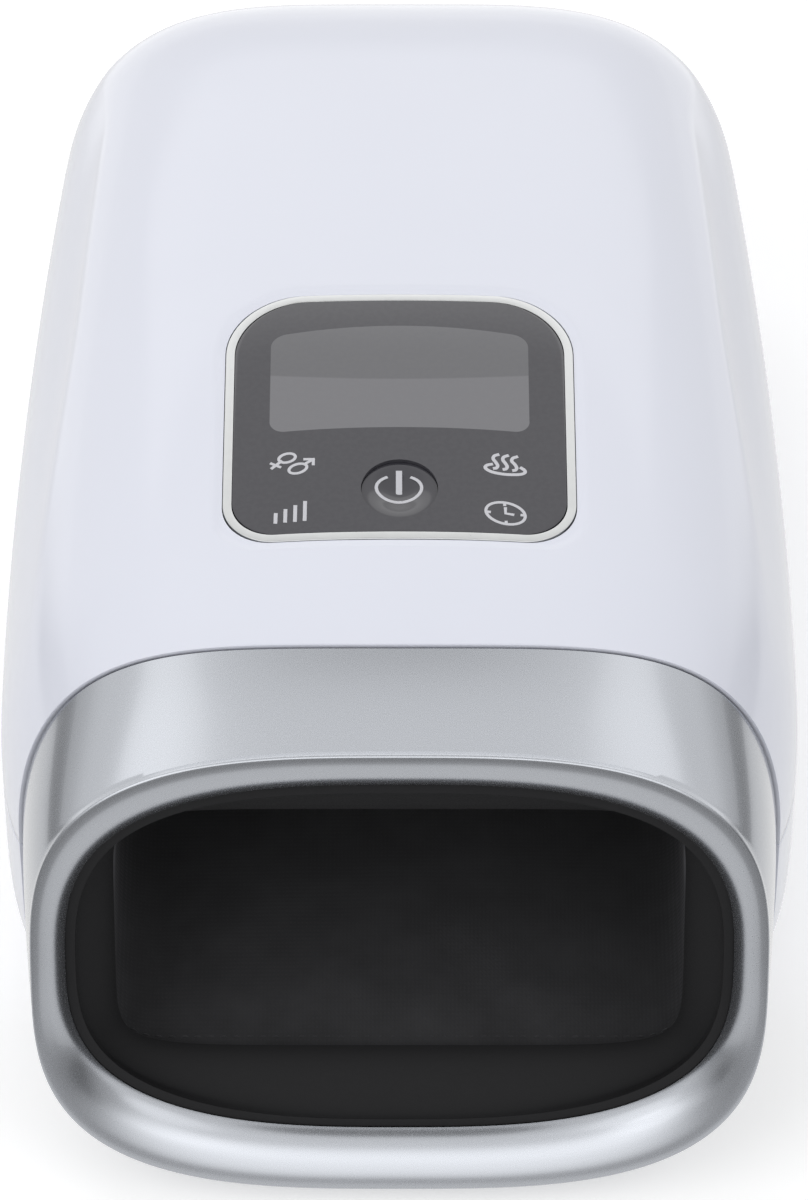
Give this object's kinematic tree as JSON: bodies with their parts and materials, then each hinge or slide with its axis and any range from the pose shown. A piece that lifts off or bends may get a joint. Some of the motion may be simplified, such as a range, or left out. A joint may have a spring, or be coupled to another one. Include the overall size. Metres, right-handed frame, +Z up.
{
  "type": "hand massager",
  "caption": "Wedge-shaped air-cell hand massager with a silver collar round a lined hand opening, a smoked glass panel with a round key, and its pump, valves and battery inside.",
  "frame": {"origin": "middle of the footprint, on the surface that the feet stand on", "axes": "+X to the right seen from the hand opening, +Y from the opening to the rounded back, +Z up"},
  "size_m": [0.16, 0.264, 0.1159],
  "materials": {
    "white_gloss": "glossy white moulding",
    "silver_paint": "silver metallic paint under clear lacquer",
    "trim_silver": "bright silver plated plastic",
    "smoked_glass": "smoked glass, polished",
    "key_black": "smoked gloss plastic",
    "black_plastic": "moulded, fine texture",
    "black_fabric": "soft knitted lining",
    "grey_plastic": "moulded, untextured",
    "soft_rubber": "matt rubber",
    "foam": "cut foam",
    "film": "amber film",
    "board": "solder mask",
    "display": "dark display glass",
    "steel": "zinc plated",
    "brass": "turned",
    "silicone": "translucent silicone",
    "cell": "blue plastic sleeve",
    "ribbon": "flat white cable",
    "wire": "insulated wire"
  },
  "bodies": {
    "housing": {"air_block": "black_plastic", "battery_cable": "wire", "battery_cell_front": "cell", "battery_cell_rear": "cell", "battery_tray": "black_plastic", "board_screw_left": "steel", "board_screw_right": "steel", "case_screw_front_left": "steel", "case_screw_front_right": "steel", "case_screw_rear_left": "steel", "case_screw_rear_right": "steel", "charge_inlet": "steel", "display_module": "display", "finger_bag": "soft_rubber", "finger_hose": "silicone", "floor_foam": "foam", "foot_front_left": "soft_rubber", "foot_front_right": "soft_rubber", "foot_rear_left": "soft_rubber", "foot_rear_right": "soft_rubber", "front_collar": "silver_paint", "heating_film": "film", "inlet_board": "board", "liner": "black_fabric", "lower_housing": "white_gloss", "main_board": "board", "mouth_ring": "black_plastic", "palm_bag": "soft_rubber", "palm_hose": "silicone", "panel_board": "board", "panel_lens": "smoked_glass", "panel_ribbon": "ribbon", "panel_trim": "trim_silver", "power_switch": "black_plastic", "pump_body": "black_plastic", "pump_cover": "black_plastic", "pump_diaphragm": "soft_rubber", "pump_hose": "silicone", "pump_motor": "steel", "pump_mount": "soft_rubber", "rear_deck": "grey_plastic", "roof_frame": "grey_plastic", "roof_screw_front_left": "steel", "roof_screw_front_right": "steel", "roof_screw_rear_left": "steel", "roof_screw_rear_right": "steel", "touch_pad_heat": "foam", "touch_pad_level": "foam", "touch_pad_timer": "foam", "touch_pad_user": "foam", "tunnel_frame": "grey_plastic", "upper_housing": "white_gloss", "valve_finger": "steel", "valve_palm": "steel"},
    "power_key": {"power_key": "key_black"},
    "palm_pad": {"palm_pad": "black_fabric"},
    "finger_pad": {"finger_pad": "black_fabric"},
    "pump_crank": {"pump_crank": "brass"},
    "palm_plunger": {"valve_plunger_palm": "brass"},
    "finger_plunger": {"valve_plunger_finger": "brass"}
  },
  "joints": [
    {"name": "power_key_press", "type": "slide", "parent": "housing", "child": "power_key", "axis": [0, -0.0428, -0.9991], "range_m": [0, 0.0006], "stiffness_N_per_m": 600, "springref_m": -0.0006},
    {"name": "palm_pad_press", "type": "slide", "parent": "housing", "child": "palm_pad", "axis": [0, 0, -1], "range_m": [0, 0.012], "stiffness_N_per_m": 80, "springref_m": -0.01, "deforming": ["palm_bag"]},
    {"name": "finger_pad_press", "type": "slide", "parent": "housing", "child": "finger_pad", "axis": [0, 0, -1], "range_m": [0, 0.012], "stiffness_N_per_m": 80, "springref_m": -0.01, "deforming": ["finger_bag"]},
    {"name": "pump_crank_spin", "type": "hinge", "parent": "housing", "child": "pump_crank", "pos_m": [-0.017, 0.0935, 0.048], "axis": [1, 0, 0], "continuous": true},
    {"name": "palm_plunger_pull", "type": "slide", "parent": "housing", "child": "palm_plunger", "axis": [0, 0, -1], "range_m": [0, 0.0008], "stiffness_N_per_m": 150, "springref_m": -0.0008},
    {"name": "finger_plunger_pull", "type": "slide", "parent": "housing", "child": "finger_plunger", "axis": [0, 0, -1], "range_m": [0, 0.0008], "stiffness_N_per_m": 150, "springref_m": -0.0008}
  ]
}
